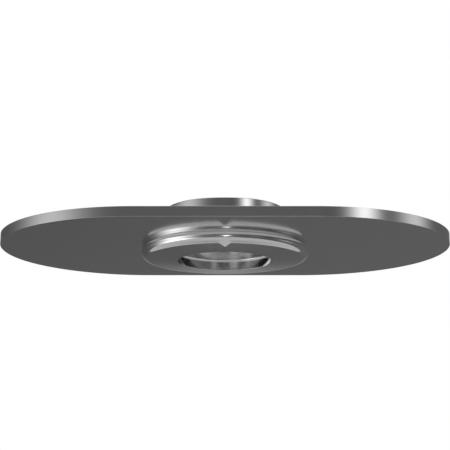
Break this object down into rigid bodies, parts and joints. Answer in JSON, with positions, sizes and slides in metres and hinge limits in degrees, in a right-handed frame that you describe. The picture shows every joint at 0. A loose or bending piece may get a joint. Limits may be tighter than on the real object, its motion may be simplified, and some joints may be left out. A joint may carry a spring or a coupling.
{
  "type": "obround blind flange",
  "caption": "Obround steel blind flange: flat plate with a notched, headed socket body through it, closed by a cup plug and welded on its back.",
  "frame": {"origin": "centre of the socket's mouth, the lowest point of the part, on the socket's axis", "axes": "+Z along the socket's axis from the mouth to the neck's end, +X along the plate's long side, the index notch at -Y"},
  "size_m": [0.141, 0.089, 0.0162],
  "materials": {
    "plate_steel": "smooth polished steel, no visible grain; it looks mid-grey because it mirrors a dim room",
    "body_steel": "bright turned and polished steel",
    "plug_steel": "drawn bright steel",
    "weld_bead": "brushed weld bead with light ripples"
  },
  "bodies": {
    "root": {"flange_plate": "plate_steel", "socket_body": "body_steel", "cup_plug": "plug_steel", "back_weld": "weld_bead"}
  },
  "joints": []
}
